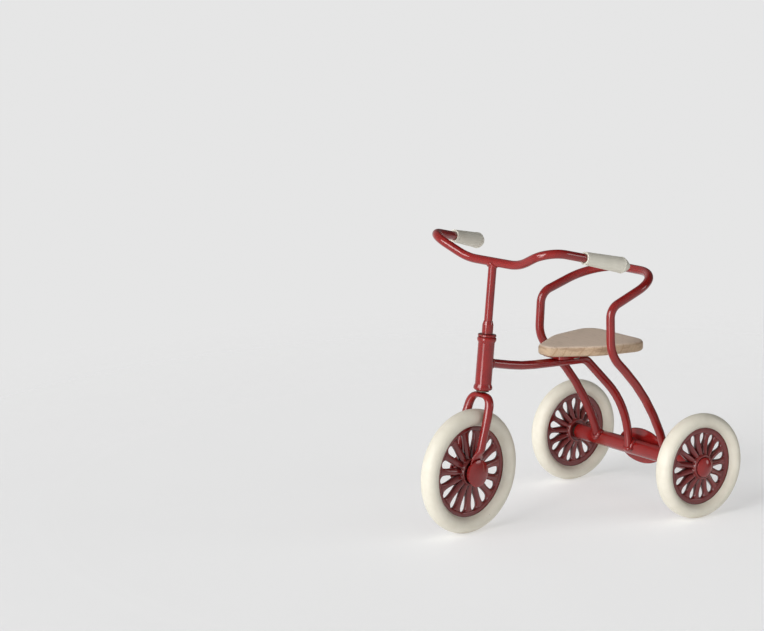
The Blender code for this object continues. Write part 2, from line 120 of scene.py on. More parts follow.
# ---------------------------------------------------------------- camera, floor and light
def camera():
    """A long lens from the front left quarter and from above; its place is in metres."""
    azimuth, elevation, roll = radians(53.25), radians(11.53), radians(-0.1)
    data = bpy.data.cameras.new("camera")
    data.lens, data.sensor_width = 137.64, 36
    data.clip_start, data.clip_end = 0.01, 20
    obj = bpy.data.objects.new("camera", data)
    bpy.context.scene.collection.objects.link(obj)
    back = Vector((
        sin(azimuth) * cos(elevation), -cos(azimuth) * cos(elevation), sin(elevation)
    ))
    right = Vector((cos(azimuth), sin(azimuth), 0))
    turn = Matrix((right, back.cross(right), back)).transposed().to_4x4()
    place = Matrix.Translation(Vector((0.66570, -0.59582, 0.24005)))
    obj.matrix_world = place @ turn @ Matrix.Rotation(roll, 4, "Z")
    bpy.context.scene.camera = obj


def floor():
    """A pale round floor that fades into the pale backdrop; gloss sees the studio instead of it."""
    data = bpy.data.meshes.new("floor")
    count = 96
    turns = [2 * pi * i / count for i in range(count)]
    points = [(FLOOR_R * MM * cos(turn), FLOOR_R * MM * sin(turn), 0) for turn in turns]
    data.from_pydata(points, [], [tuple(range(count))])
    obj = bpy.data.objects.new("floor", data)
    bpy.context.scene.collection.objects.link(obj)
    data.materials.append(floor_material())
    obj.visible_glossy = False


def sun(name, azimuth, elevation, strength, size):
    """A soft light from a direction given as degrees from +X towards +Y, and up."""
    data = bpy.data.lights.new(name, "SUN")
    data.energy, data.angle = strength, radians(size)
    obj = bpy.data.objects.new(name, data)
    bpy.context.scene.collection.objects.link(obj)
    a, e = radians(azimuth), radians(elevation)
    towards = Vector((cos(a) * cos(e), sin(a) * cos(e), sin(e)))
    obj.rotation_euler = towards.to_track_quat("Z", "Y").to_euler()


def world():
    """A flat pale backdrop for the camera, and for all other rays a studio.

    The studio has a tall window on the tricycle's front side that is dimmer low down, a pale
    ground, a dim ceiling and a dark corner behind the tricycle.
    """
    room = bpy.data.worlds.new("studio")
    room.use_nodes = True
    bpy.context.scene.world = room
    tree = Tree(room.node_tree)
    direction = tree.nodes.new("ShaderNodeTexCoord").outputs["Generated"]
    height = tree.part(direction, "Z")
    level = tree.vector("NORMALIZE", tree.vector("MULTIPLY", direction, (1, 1, 0)))

    def facing(azimuth, edge, core):
        """1 within core degrees round from an azimuth, and 0 beyond edge."""
        middle = (cos(radians(azimuth)), sin(radians(azimuth)), 0)
        closeness = tree.vector("DOT_PRODUCT", level, middle)
        return tree.ramp(closeness, (cos(radians(edge)), cos(radians(core))), (0, 1))

    sky = tree.ramp(height, (0.0, 0.75), (0.70, 0.30))
    corner = tree.ramp(facing(azimuth=100, edge=70, core=35), (0, 1), (1, 0.15))
    ground = tree.ramp(height, (-0.30, -0.08), (1, 0))
    room_light = tree.blend(ground, tree.maths("MULTIPLY", sky, corner), GROUND_LIGHT)
    window = facing(azimuth=-76, edge=12, core=8)
    foot = tree.ramp(height, (-0.55, -0.40), (0, 1))
    head = tree.ramp(height, (0.58, 0.70), (1, 0))
    dimmer_below = tree.ramp(height, (-0.12, 0.12), (0.4, 1))
    for factor in (foot, head, dimmer_below):
        window = tree.maths("MULTIPLY", window, factor)
    studio = tree.maths("ADD", room_light, tree.maths("MULTIPLY", window, WINDOW_LIGHT))
    seen = tree.nodes.new("ShaderNodeLightPath").outputs["Is Camera Ray"]
    background = tree.nodes["Background"]
    background.inputs["Color"].default_value = (1, 1, 1, 1)
    tree.links.new(tree.blend(seen, studio, BACKDROP), background.inputs["Strength"])


# ---------------------------------------------------------------- materials
class Tree:
    """Short ways to add nodes to a node tree."""

    def __init__(self, tree):
        self.nodes, self.links = tree.nodes, tree.links

    def put(self, value, socket):
        if isinstance(value, bpy.types.NodeSocket):
            self.links.new(value, socket)
        else:
            socket.default_value = value

    def maths(self, operation, a, b=0.0):
        node = self.nodes.new("ShaderNodeMath")
        node.operation = operation
        self.put(a, node.inputs[0])
        self.put(b, node.inputs[1])
        return node.outputs[0]

    def vector(self, operation, a, b=(0, 0, 0)):
        node = self.nodes.new("ShaderNodeVectorMath")
        node.operation = operation
        self.put(a, node.inputs[0])
        self.put(b, node.inputs[1])
        return node.outputs["Value" if operation in ("DOT_PRODUCT", "LENGTH") else "Vector"]

    def part(self, vector, axis):
        node = self.nodes.new("ShaderNodeSeparateXYZ")
        self.links.new(vector, node.inputs[0])
        return node.outputs[axis]

    def ramp(self, value, span, result):
        """value taken from span to result in a straight line, and held at both ends."""
        node = self.nodes.new("ShaderNodeMapRange")
        node.inputs["From Min"].default_value, node.inputs["From Max"].default_value = span
        node.inputs["To Min"].default_value, node.inputs["To Max"].default_value = result
        self.put(value, node.inputs["Value"])
        return node.outputs[0]

    def blend(self, factor, a, b):
        node = self.nodes.new("ShaderNodeMix")
        self.put(factor, node.inputs["Factor"])
        for value, name in ((a, "A"), (b, "B")):
            self.put(value, [s for s in node.inputs if s.name == name and s.type == "VALUE"][0])
        return [s for s in node.outputs if s.type == "VALUE"][0]


class Paint(Tree):
    """A Principled material with its coordinates in millimetres."""

    def __init__(self, name):
        self.material = bpy.data.materials.new(name)
        self.material.use_nodes = True
        super().__init__(self.material.node_tree)
        self.shader = self.nodes["Principled BSDF"]
        scale = self.nodes.new("ShaderNodeVectorMath")
        scale.operation = "SCALE"
        scale.inputs["Scale"].default_value = 1 / MM
        self.links.new(self.nodes.new("ShaderNodeTexCoord").outputs["Object"], scale.inputs[0])
        self.place = scale.outputs[0]

    def noise(self, size, detail=3.0, rough=0.55, place=None):
        node = self.nodes.new("ShaderNodeTexNoise")
        node.inputs["Scale"].default_value = 1 / size
        node.inputs["Detail"].default_value = detail
        node.inputs["Roughness"].default_value = rough
        self.links.new(place or self.place, node.inputs["Vector"])
        return node.outputs["Fac"]

    def stretched(self, factors, turn=(0, 0, 0)):
        """The coordinates turned and scaled along each axis, so that noise runs in streaks."""
        node = self.nodes.new("ShaderNodeMapping")
        node.inputs["Rotation"].default_value = turn
        node.inputs["Scale"].default_value = factors
        self.links.new(self.place, node.inputs["Vector"])
        return node.outputs[0]

    def specks(self, size, share):
        """1 in small round spots that lie scattered, and 0 elsewhere."""
        node = self.nodes.new("ShaderNodeTexVoronoi")
        node.inputs["Scale"].default_value = 1 / size
        self.links.new(self.place, node.inputs["Vector"])
        near = self.ramp(node.outputs["Distance"], (share * 0.6, share), (1, 0))
        hue = self.nodes.new("ShaderNodeSeparateColor")
        self.links.new(node.outputs["Color"], hue.inputs[0])
        chosen = self.ramp(hue.outputs[0], (0.78, 0.80), (0, 1))
        return self.maths("MULTIPLY", near, chosen)

    def mix(self, factor, a, b):
        node = self.nodes.new("ShaderNodeMix")
        node.data_type = "RGBA"
        self.put(factor, node.inputs["Factor"])
        for value, name in ((a, "A"), (b, "B")):
            colour = value if isinstance(value, bpy.types.NodeSocket) else (*value, 1)
            self.put(colour, [s for s in node.inputs if s.name == name and s.type == "RGBA"][0])
        return [s for s in node.outputs if s.type == "RGBA"][0]

    def crevice(self, reach):
        """1 in the open and less where another surface is near."""
        node = self.nodes.new("ShaderNodeAmbientOcclusion")
        node.samples = 8
        node.inputs["Distance"].default_value = reach * MM
        return node.outputs["AO"]

    def bumps(self, *layers):
        """Bump from (height, depth in mm) layers, laid one on another."""
        normal = None
        for height, depth in layers:
            node = self.nodes.new("ShaderNodeBump")
            node.inputs["Distance"].default_value = depth * MM
            self.links.new(height, node.inputs["Height"])
            if normal:
                self.links.new(normal, node.inputs["Normal"])
            normal = node.outputs[0]
        self.links.new(normal, self.shader.inputs["Normal"])

    def set(self, **values):
        names = {
            "colour": "Base Color", "rough": "Roughness", "metal": "Metallic",
            "coat": "Coat Weight", "coat_rough": "Coat Roughness", "specular": "Specular IOR Level",
        }
        for name, value in values.items():
            self.put(value, self.shader.inputs[names[name]])
        return self.material


def enamel(name, deep, bright, gloss, coat, shade_reach=1.1, shade_depth=0.6):
    """Thick dipped enamel: slow waves, fine orange peel, and painted shade where another surface is
    near.
    """
    paint = Paint(name)
    painted_shade_colour, speck_colour = tuple(c * 0.2 for c in deep), tuple(c * 0.25 for c in deep)
    waves, peel = paint.noise(5.0, 2), paint.noise(0.8, 2)
    colour = paint.mix(paint.ramp(waves, (0.3, 0.7), (0, 1)), deep, bright)
    # painted shade: the paint is darkened where another surface is near
    painted_shade = paint.ramp(paint.crevice(shade_reach), (0.25, 0.9), (shade_depth, 0))
    colour = paint.mix(painted_shade, colour, painted_shade_colour)
    dust = paint.specks(1.6, 0.05)
    colour = paint.mix(paint.maths("MULTIPLY", dust, 0.5), colour, speck_colour)
    rough = paint.ramp(paint.noise(2.2, 3, 0.6), (0.35, 0.75), (gloss, gloss + 0.07))
    paint.bumps((waves, 0.045), (peel, 0.005), (dust, 0.012))
    return paint.set(colour=colour, rough=rough, coat=coat, coat_rough=0.05)


def rubber(name, colour, shade, rough, stain_and_shade):
    """Satin moulded rubber with a faint mottle, a fine skin, crevices stained and given painted
    shade, and a few specks.
    """
    paint = Paint(name)
    speck_colour = (0.12, 0.06, 0.04)
    mottle = paint.ramp(paint.noise(3.5, 4, 0.6), (0.3, 0.7), (0, 1))
    tone = paint.mix(mottle, colour, shade)
    # crevices darker and yellower: a yellow stain and a painted shade, where another surface is near
    tone = paint.mix(paint.ramp(paint.crevice(1.6), (0.2, 0.85), (0.7, 0)), tone, stain_and_shade)
    specks = paint.specks(2.6, 0.045)
    tone = paint.mix(paint.maths("MULTIPLY", specks, 0.8), tone, speck_colour)
    skin = paint.noise(0.22, 3, 0.6)
    gloss = paint.ramp(paint.noise(2.2, 3), (0.3, 0.7), (rough - 0.08, rough + 0.08))
    paint.bumps((paint.noise(2.8, 3), 0.03), (skin, 0.004))
    return paint.set(colour=tone, rough=gloss, specular=0.4)


def beech(name):
    """Beech with its fibres across the seat: thin slanting growth rings on the sides, lit top, shaded
    sides.
    """
    paint = Paint(name)
    # painted light and shade: the sides take a darker copy of the wood's colour than the top
    shaded_side_dark, shaded_side_pale = (0.40, 0.285, 0.185), (0.56, 0.41, 0.275)
    lit_top_dark, lit_top_pale = (0.70, 0.57, 0.455), (0.78, 0.64, 0.515)
    ring_colour, streak_colour = (0.33, 0.19, 0.10), (0.27, 0.165, 0.10)
    fleck_colour = (0.30, 0.20, 0.13)
    slant, rings_per_mm = radians(62), 0.47
    wander = paint.noise(6.0, 2, 0.5, paint.stretched((0.15, 1, 1)))
    along = paint.stretched((0, rings_per_mm, rings_per_mm), (pi / 2 - slant, 0, 0))
    normal = paint.nodes.new("ShaderNodeNewGeometry").outputs["Normal"]
    top = paint.ramp(paint.part(normal, "Z"), (0.45, 0.95), (0, 1))
    year = paint.maths("ADD", paint.part(along, "Y"), paint.maths("MULTIPLY", wander, 0.9))
    season = paint.maths("FRACT", year)
    late = paint.ramp(season, (0.78, 0.97), (0, 1))
    close = paint.ramp(season, (0.97, 1.0), (1, 0))
    ring = paint.maths("MULTIPLY", late, close)
    ring = paint.maths("MULTIPLY", ring, paint.ramp(top, (0, 1), (0.9, 0.1)))
    ring = paint.maths("MULTIPLY", ring, paint.ramp(paint.noise(4.5, 2), (0.35, 0.6), (0.35, 1)))
    fibre = paint.noise(0.34, 4, 0.7, paint.stretched((0.06, 1, 1)))
    grain = paint.ramp(fibre, (0.3, 0.7), (0, 1))
    sides, upper = paint.mix(grain, shaded_side_dark, shaded_side_pale), paint.mix(grain, lit_top_dark, lit_top_pale)
    # painted light and shade: the face's direction picks the lit top colour or the shaded side colour
    tone = paint.mix(top, sides, upper)
    tone = paint.mix(ring, tone, ring_colour)
    streak = paint.noise(3.4, 3, 0.6, paint.stretched((0.5, 0.35, 1.5)))
    streak = paint.ramp(streak, (0.52, 0.66), (0, 0.75))
    streak = paint.maths("MULTIPLY", streak, paint.ramp(top, (0, 1), (1, 0.12)))
    tone = paint.mix(streak, tone, streak_colour)
    flecks = paint.noise(0.5, 2, 0.5, paint.stretched((0.22, 1.0, 1.6)))
    flecks = paint.ramp(flecks, (0.62, 0.72), (0, 0.38))
    tone = paint.mix(flecks, tone, fleck_colour)
    rough = paint.ramp(fibre, (0.3, 0.7), (0.48, 0.66))
    paint.bumps((ring, -0.03), (fibre, 0.014), (flecks, -0.015))
    return paint.set(colour=tone, rough=rough, specular=0.4)


def bare_steel(name):
    """Turned steel that has gone a little brown."""
    paint = Paint(name)
    tarnish = paint.ramp(paint.noise(1.6, 4, 0.65), (0.35, 0.7), (0, 1))
    colour = paint.mix(tarnish, (0.20, 0.15, 0.12), (0.07, 0.045, 0.035))
    grind = paint.noise(0.16, 2, 0.5, paint.stretched((0.1, 0.1, 3)))
    rough = paint.ramp(tarnish, (0, 1), (0.4, 0.6))
    paint.bumps((grind, 0.006))
    return paint.set(colour=colour, rough=rough, metal=1.0)


def chipped_enamel(name):
    """Red enamel on a part that rubs: it has chipped off to dark metal in patches."""
    paint = Paint(name)
    chips = paint.ramp(paint.noise(1.3, 3, 0.6), (0.50, 0.56), (0, 1))
    colour = paint.mix(chips, (0.22, 0.009, 0.008), (0.10, 0.065, 0.045))
    rough = paint.ramp(chips, (0, 1), (0.12, 0.45))
    paint.bumps((chips, -0.03))
    return paint.set(colour=colour, rough=rough, coat=0.15, coat_rough=0.05)


def floor_material():
    paint = Paint("pale_floor")
    tone = paint.ramp(paint.noise(40.0, 3), (0.3, 0.7), (0, 1))
    colour = paint.mix(tone, (0.60, 0.60, 0.60), (0.61, 0.61, 0.61))
    paint.bumps((paint.noise(1.0, 2), 0.01))
    paint.shader.inputs["Emission Color"].default_value = (1, 1, 1, 1)
    paint.shader.inputs["Emission Strength"].default_value = FLOOR_GLOW
    away = paint.vector("LENGTH", paint.place)
    paint.links.new(paint.ramp(away, FLOOR_FADE, (1, 0)), paint.shader.inputs["Alpha"])
    return paint.set(colour=colour, rough=0.9, specular=0.0)


RED = enamel(
    "red_enamel_coat", (0.205, 0.0080, 0.0075), (0.25, 0.0100, 0.0085), gloss=0.10, coat=0.25
)
# the wheel bodies get a wider and darker painted shade in their hollows
RIM_RED = enamel(
    "rim_enamel_coat", (0.150, 0.012, 0.012), (0.185, 0.015, 0.014), gloss=0.13, coat=0.4,
    shade_reach=2.2, shade_depth=0.8,
)
CREAM = rubber(
    "tyre_rubber", (0.68, 0.64, 0.535), (0.73, 0.695, 0.595), rough=0.46, stain_and_shade=(0.44, 0.37, 0.26)
)
GRIP = rubber(
    "grip_skin", (0.61, 0.585, 0.50), (0.66, 0.635, 0.55), rough=0.48, stain_and_shade=(0.42, 0.38, 0.27)
)
BEECH = beech("seat_beech")
STEEL = bare_steel("turned_steel")
CHIPPED = chipped_enamel("chipped_enamel")


# ---------------------------------------------------------------- mesh building
def bent_path(corners, step=radians(5), longest=2.5):
    """Straight runs joined by arcs: each corner is (point, bend radius), the ends have radius 0."""
    points = [Vector(corner) for corner, _ in corners]
    path = [points[0]]
    for before, corner, after, (_, radius) in zip(points, points[1:], points[2:], corners[1:]):
        back, ahead = (before - corner).normalized(), (after - corner).normalized()
        turn = pi - back.angle(ahead)
        if radius == 0 or turn < 1e-4:
            path.append(corner)
            continue
        start = corner + back * radius * tan(turn / 2)
        centre = corner + (back + ahead).normalized() * radius / cos(turn / 2)
        arm, side = start - centre, -back
        count = max(2, round(turn / step))
        for i in range(count + 1):
            angle = turn * i / count
            path.append(centre + arm * cos(angle) + side * radius * sin(angle))
    path.append(points[-1])
    return [p for a, b in zip(path, path[1:]) for p in divided(a, b, longest)] + [path[-1]]


def divided(start, end, longest):
    count = max(1, round((end - start).length / longest))
    return [start.lerp(end, i / count) for i in range(count)]


def mirror(corners):
    return [((-point[0], *point[1:]), radius) for point, radius in corners]


def sweep(path, radius, sides=28, closed=False):
    """A round tube along a path, as (points, faces); radius may be a function of ring and side."""
    count = len(path)
    points, faces = [], []
    normal = None
    for i, point in enumerate(path):
        before = path[i - 1] if i or closed else path[0]
        after = path[(i + 1) % count] if i < count - 1 or closed else path[-1]
        along = (after - before).normalized()
        if normal is None:
            normal = along.orthogonal()
        normal = (normal - along * normal.dot(along)).normalized()
        across = along.cross(normal)
        for k in range(sides):
            angle = 2 * pi * k / sides
            reach = radius(i, k) if callable(radius) else radius
            points.append(point + (normal * cos(angle) + across * sin(angle)) * reach)
    for i in range(count if closed else count - 1):
        for k in range(sides):
            a, b = i * sides, (i + 1) % count * sides
            faces.append((a + k, a + (k + 1) % sides, b + (k + 1) % sides, b + k))
    if not closed:
        faces.append(tuple(range(sides))[::-1])
        faces.append(tuple(range((count - 1) * sides, count * sides)))
    return points, faces


def lathe(profile, steps, closed=False):
    """A profile of (radius, height) turned about Z, as (points, faces)."""
    points, faces, rings = [], [], []
    for r, h in profile:
        turns = [2 * pi * k / steps for k in range(1 if r < 1e-6 else steps)]
        rings.append(range(len(points), len(points) + len(turns)))
        points += [Vector((r * cos(turn), r * sin(turn), h)) for turn in turns]
    for a, b in zip(rings, rings[1:] + (rings[:1] if closed else [])):
        for k in range(steps):
            corners = [a[k % len(a)], a[(k + 1) % len(a)], b[(k + 1) % len(b)], b[k % len(b)]]
            corners = list(dict.fromkeys(corners))
            if len(corners) > 2:
                faces.append(tuple(corners))
    return points, faces


def eased(profile, closed=False):
    """The profile with each corner rounded: entries are (radius, height, rounding)."""
    corners = [((r, h, 0), ease) for r, h, ease in profile]
    if closed:
        start = Vector(corners[0][0]).lerp(Vector(corners[-1][0]), 0.5)
        corners = [(tuple(start), 0)] + corners + [(tuple(start), 0)]
    path = bent_path(corners, step=radians(15), longest=100)
    if closed:
        path.pop()
    return [(p.x, p.y) for p in path]


def piece(name, shape, material, body, replaced=(), matrix=None, sharp=35):
    """Make one visible piece from (points, faces) in millimetres, riding on a body."""
    points, faces = shape
    matrix = matrix or Matrix.Identity(4)
    data = bpy.data.meshes.new(name)
    data.from_pydata([(matrix @ Vector(p)) * MM for p in points], [], faces)
    work = bmesh.new()
    work.from_mesh(data)
    bmesh.ops.remove_doubles(work, verts=work.verts, dist=1e-7)
    bmesh.ops.recalc_face_normals(work, faces=work.faces)
    work.to_mesh(data)
    work.free()
    data.shade_smooth()
    data.set_sharp_from_angle(angle=radians(sharp))
    data.materials.append(material)
    obj = bpy.data.objects.new(name, data)
    bpy.context.scene.collection.objects.link(obj)
    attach(obj, body)
    if replaced:
        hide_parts(*replaced)
    return obj


def at(x, y, z, turn=Matrix.Identity(4)):
    return Matrix.Translation(Vector((x, y, z))) @ turn


def head_point(height):
    return HEAD @ Vector((0, 0, height))


# ---------------------------------------------------------------- frame
def main_tube():
    corners = [
        ((0, -58.5, 51.08), 0),
        ((0, -46.0, 48.45), 60),
        ((0, -20.7, 47.4), 5),
        ((0, -2.4, 29.4), 30),
        ((0, -2.4, 16.6), 0),
    ]
    shape = sweep(bent_path(corners), ROD_R)
    piece("main_tube_coat", shape, RED, "frame", ["main_tube"])


def backrest_hoop():
    lower = [
        ((16.2, -25.0, 66.1), 4.5),
        ((16.9, -25.2, 52.0), 10),
        ((16.5, -7.2, 34.4), 70),
        ((16.0, -0.9, 16.4), 0),
    ]
    left_corner, right_corner = ((15.8, -3.7, 74.1), 11.5), ((15.7, -2.3, 73.2), 12.5)
    left, right = [left_corner] + lower, mirror([right_corner] + lower)
    shape = sweep(bent_path(left[::-1] + right), ROD_R)
    piece("backrest_hoop_coat", shape, RED, "frame", ["backrest_hoop"])


def head_tube():
    """The steering bearing, with a rounded bead at each end."""
    top, bore = HEAD_LENGTH, STEM_R + GAP
    profile = [
        (bore, top, 0.1), (2.55, top, 0.25), (2.9, top - 0.45, 0.3), (2.9, top - 1.05, 0.3),
        (HEAD_TUBE_R, top - 1.8, 0.5), (HEAD_TUBE_R, 1.8, 0.5),
        (2.85, 0.95, 0.3), (2.85, 0.35, 0.25), (2.45, 0, 0.2), (bore, 0, 0.1),
    ]
    shape = lathe(eased(profile, closed=True), steps=56, closed=True)
    piece("head_tube_coat", shape, RED, "frame", ["head_tube"], HEAD)


def axle_tube():
    half, bore = AXLE_TUBE_HALF, AXLE_R + GAP
    profile = [
        (bore, half, 0.1), (AXLE_TUBE_R, half, 0.35), (AXLE_TUBE_R, -half, 0.35), (bore, -half, 0.1)
    ]
    shape = lathe(eased(profile, closed=True), steps=56, closed=True)
    place = at(0, 0, REAR_WHEEL_R, ALONG_X)
    piece("axle_tube_coat", shape, RED, "frame", ["axle_tube"], place)


def slab(outline, thick, top_ease, bottom_ease):
    """A flat counter-clockwise outline as a board about z = 0, its edges rounded over."""
    count, rings = len(outline), 5
    steps = [radians(a) for a in (0, 18, 36, 54, 72, 90)]
    levels = [(top_ease * (1 - sin(a)), thick / 2 - top_ease * (1 - cos(a))) for a in steps]
    levels += [
        (bottom_ease * (1 - cos(a)), bottom_ease * (1 - sin(a)) - thick / 2) for a in steps
    ]
    middle = Vector((sum(x for x, _ in outline) / count, sum(y for _, y in outline) / count))

    def shrunk(loop, share):
        return [p.lerp(Vector((*middle, p.z)), share) for p in loop]

    loops = [[Vector((*p, z)) for p in inset_outline(outline, inset)] for inset, z in levels]
    shares = [i / rings for i in range(1, rings)]
    top = [shrunk(loops[0], share) for share in reversed(shares)]
    bottom = [shrunk(loops[-1], share) for share in shares]
    loops = top + loops + bottom
    points = [p for loop in loops for p in loop]
    faces = [tuple(range(count))[::-1], tuple(range(len(points) - count, len(points)))]
    for j in range(len(loops) - 1):
        for k in range(count):
            a, b, n = j * count, (j + 1) * count, (k + 1) % count
            faces.append((a + k, a + n, b + n, b + k))
    return points, faces


def inset_outline(outline, inset):
    """Each point moved in along the mean of its two edges' normals."""
    moved = []
    for i, point in enumerate(outline):
        before, after = Vector(outline[i - 1]), Vector(outline[(i + 1) % len(outline)])
        along = (after - before).normalized()
        moved.append(Vector(point) + Vector((-along.y, along.x)) * inset)
    return moved


def seat_outline():
    half = [
        ((0, -37.7, 0), 0),
        ((2.8, -37.7, 0), 3.2),
        ((11.3, -24.5, 0), 16),
        ((14.5, -6.3, 0), 5.2),
        ((0, -6.3, 0), 0),
    ]
    right = [(p.x, p.y) for p in bent_path(half, step=radians(6), longest=1.5)[1:-1]]
    left = [(-x, y) for x, y in reversed(right)]
    return [half[0][0][:2]] + right + [half[-1][0][:2]] + left


def seat():
    shape = slab(seat_outline(), SEAT_THICK, top_ease=0.95, bottom_ease=0.8)
    place = at(0, 0, SEAT_TOP - SEAT_THICK / 2)
    piece("seat_board", shape, BEECH, "frame", ["seat"], place, sharp=50)


def rear_plate():
    width, height, thick = 20.2, 10.9, 1.0
    count = 96
    turns = [2 * pi * i / count for i in range(count)]
    outline = [(width / 2 * cos(turn), height / 2 * sin(turn)) for turn in turns]
    place = at(0, AXLE_TUBE_R + 2 * GAP + thick / 2, REAR_WHEEL_R, Matrix.Rotation(pi / 2, 4, "X"))
    shape = slab(outline, thick, top_ease=0.3, bottom_ease=0.3)
    piece("rear_plate_coat", shape, RED, "frame", ["rear_plate"], place, sharp=50)


def domed_cap(name, radius, height, edge, place, body, node):
    """A pressed cap: a full low dome on a short rounded edge."""
    dome = []
    count = 14
    for i in range(count + 1):
        share = sin(radians(90 * i / count))
        dome.append((radius * share, edge + (height - edge) * (1 - share * share) ** 0.82))
    shape = lathe(dome + [(radius, 0.12), (radius - 0.12, 0), (0, 0)], steps=48)
    piece(name, shape, RED, body, [node], place)


def rear_caps():
    radius, height, edge = 3.05, 1.45, 0.4
    face = REAR_WHEEL_X + REAR_HUB_HALF + GAP
    for side, sign in SIDES:
        place = at(sign * face, 0, REAR_WHEEL_R, OUTWARDS[side])
        domed_cap(f"hub_cap_{side}_coat", radius, height, edge, place, "frame", f"hub_cap_{side}")


# ---------------------------------------------------------------- welds
def lumpy(radius, seed):
    """The radius of a weld bead, ring by ring and side by side."""
    depth, size = 0.3, 1.3

    def reach(i, k):
        spot = Vector((i * 0.41 / size, k * 0.33, seed * 7.7))
        return radius * (1 + depth * noise.noise(spot))

    return reach


def bead(name, path, radius, seed, body):
    shape = sweep(path, lumpy(radius, seed), sides=12, closed=True)
    piece(name, shape, RED, body, sharp=80)


def meeting_line(foot, along, rod_r, axis_point, axis, tube_r):
    """Where a rod that starts at foot and runs along meets the round tube about an axis."""
    count = 40
    along, axis = Vector(along).normalized(), Vector(axis).normalized()
    side = along.cross(axis).normalized()
    other = along.cross(side)
    flat = along - axis * along.dot(axis)
    line = []
    for i in range(count):
        angle = 2 * pi * i / count
        start = Vector(foot) + (side * cos(angle) + other * sin(angle)) * rod_r
        off = start - Vector(axis_point)
        off -= axis * off.dot(axis)
        a, b, c = flat.dot(flat), 2 * off.dot(flat), off.dot(off) - tube_r * tube_r
        root = max(0.0, b * b - 4 * a * c)
        line.append(start + along * max(0.0, (sqrt(root) - b) / (2 * a)))
    return line


def welds():
    """Beads at the head tube, where the hoop and main tube meet the axle tube, and under the bar."""
    head_axis = head_point(1) - HEAD_BOTTOM
    line = meeting_line((0, -60.3, 51.45), (0, 1, -0.21), ROD_R, HEAD_BOTTOM, head_axis, HEAD_TUBE_R)
    bead("weld_head", line, THIN_BEAD, 1, "frame")
    axle = ((0, 0, REAR_WHEEL_R), (1, 0, 0), AXLE_TUBE_R)
    for side, sign in SIDES:
        foot, ahead = (sign * 16.0, -0.9, REAR_WHEEL_R), (sign * 0.5, -6.3, 18.0)
        line = meeting_line(foot, ahead, ROD_R, *axle)
        bead(f"weld_hoop_{side}", line, FULL_BEAD, 2 + sign, "frame")
    line = meeting_line((0, -2.0, REAR_WHEEL_R), (0, 0, 1), ROD_R * 0.95, *axle)
    bead("weld_main", line, FULL_BEAD, 5, "frame")
    top = head_point(STEM_LENGTH)
    down = (HEAD_BOTTOM - top).normalized()
    across = (BAR_TURN.to_3x3() @ Vector((1, 0, 0))).normalized()
    line = meeting_line(top, down, STEM_R, top, across, ROD_R)
    bead("weld_bar", line, THIN_BEAD, 6, "steering_column")


# ---------------------------------------------------------------- steering parts
def fork():
    """One rod over the wheel, pressed flat at the crown and spread into an eye at each end."""
    crown = head_point(-CROWN_DROP)
    half = [
        ((3.85, crown.y - 0.3, crown.z - 0.1), 3.75),
        ((4.5, -63.6, 35.5), 12),
        ((4.4, -66.1, 26.4), 3),
        ((EYE_X + 0.4, -WHEELBASE + 0.15, 23.6), 0),
        ((EYE_X + 0.05, -WHEELBASE + 0.05, 22.2), 0),
        ((EYE_X, -WHEELBASE, FRONT_WHEEL_R + 0.8), 0),
    ]
    points, faces = sweep(bent_path(mirror(half)[::-1] + half, longest=1.0), ROD_R, sides=32)
    shaped = [pressed(point, crown.z) for point in points]
    shape = (shaped, faces)
    piece("fork_coat", shape, RED, "steering_column", ["fork"], STEERED, sharp=60)


def pressed(point, crown_z):
    """A point of the plain rod moved to where the press leaves it."""
    x, y, z = point
    crown_foot, crown_rise, crown_reach = 4.2, 3.0, 5.0
    eye_top, eye_reach = 26.2, 2.9
    thinner, wider = 0.62, 0.75
    near_crown = smooth((z - crown_z + crown_foot) / crown_rise)
    near_crown *= max(0.0, 1 - abs(x) / crown_reach)
    flatter = (CROWN_HALF / ROD_R - 1) * min(1.0, 1.6 * near_crown)
    near_eye = smooth((eye_top - z) / eye_reach)
    side = EYE_X if x > 0 else -EYE_X
    x_new = x + (side - x) * thinner * near_eye
    y_new = y + (y + WHEELBASE) * wider * near_eye
    z_new = crown_z + (z - crown_z) * (1 + flatter)
    return Vector((x_new, y_new, z_new))


def smooth(share):
    """share held between 0 and 1, with a soft start and a soft end."""
    share = max(0.0, min(1.0, share))
    return share * share * (3 - 2 * share)


def fork_eyes():
    """The flat eyes at the fork's ends, and the caps on them."""
    bore, radius, half = AXLE_R + GAP, EYE_R, EYE_HALF
    profile = [
        (bore, half, 0.1), (radius, half, 0.35), (radius, -half, 0.35), (bore, -half, 0.1)
    ]
    shape = lathe(eased(profile, closed=True), steps=48, closed=True)
    cap_r, cap_height, cap_edge = 4.15, 1.08, 0.45
    for side, sign in SIDES:
        eye = STEERED @ at(sign * EYE_X, -WHEELBASE, FRONT_WHEEL_R, OUTWARDS[side])
        piece(f"fork_eye_{side}", shape, RED, "steering_column", (), eye)
        cap = eye @ at(0, 0, half + GAP)
        name = f"front_cap_{side}"
        domed_cap(name + "_coat", cap_r, cap_height, cap_edge, cap, "steering_column", name)


def stem():
    """The round rod through the head tube, and the collar round it above the top washer."""
    low = CROWN_HALF - CROWN_DROP
    profile = [(0, STEM_LENGTH), (STEM_R, STEM_LENGTH), (STEM_R, low), (0, low)]
    piece("stem_coat", lathe(profile, steps=48), RED, "steering_column", ["stem"], HEAD)
    low = HEAD_LENGTH + 2 * GAP + WASHER_THICK
    inner, outer, high = STEM_R + 0.02, 1.68, 20.9
    profile = [
        (inner, high, 0), (inner + 0.1, high, 0.05), (outer, high - 1.1, 0.6),
        (outer, low, 0.1), (inner, low, 0),
    ]
    shape = lathe(eased(profile, closed=True), steps=48, closed=True)
    piece("stem_collar_coat", shape, RED, "steering_column", ["stem_collar"], HEAD)


BAR_ENDS = {  # bent by hand: the shoulder, the grip's end and the grip's length, each side
    "left": (Vector((22.6, -59.5, 88.35)), Vector((28.4, -28.5, 80.35)), 18.0),
    "right": (Vector((-23.7, -60.2, 88.35)), Vector((-28.6, -29.0, 80.35)), 17.2),
}


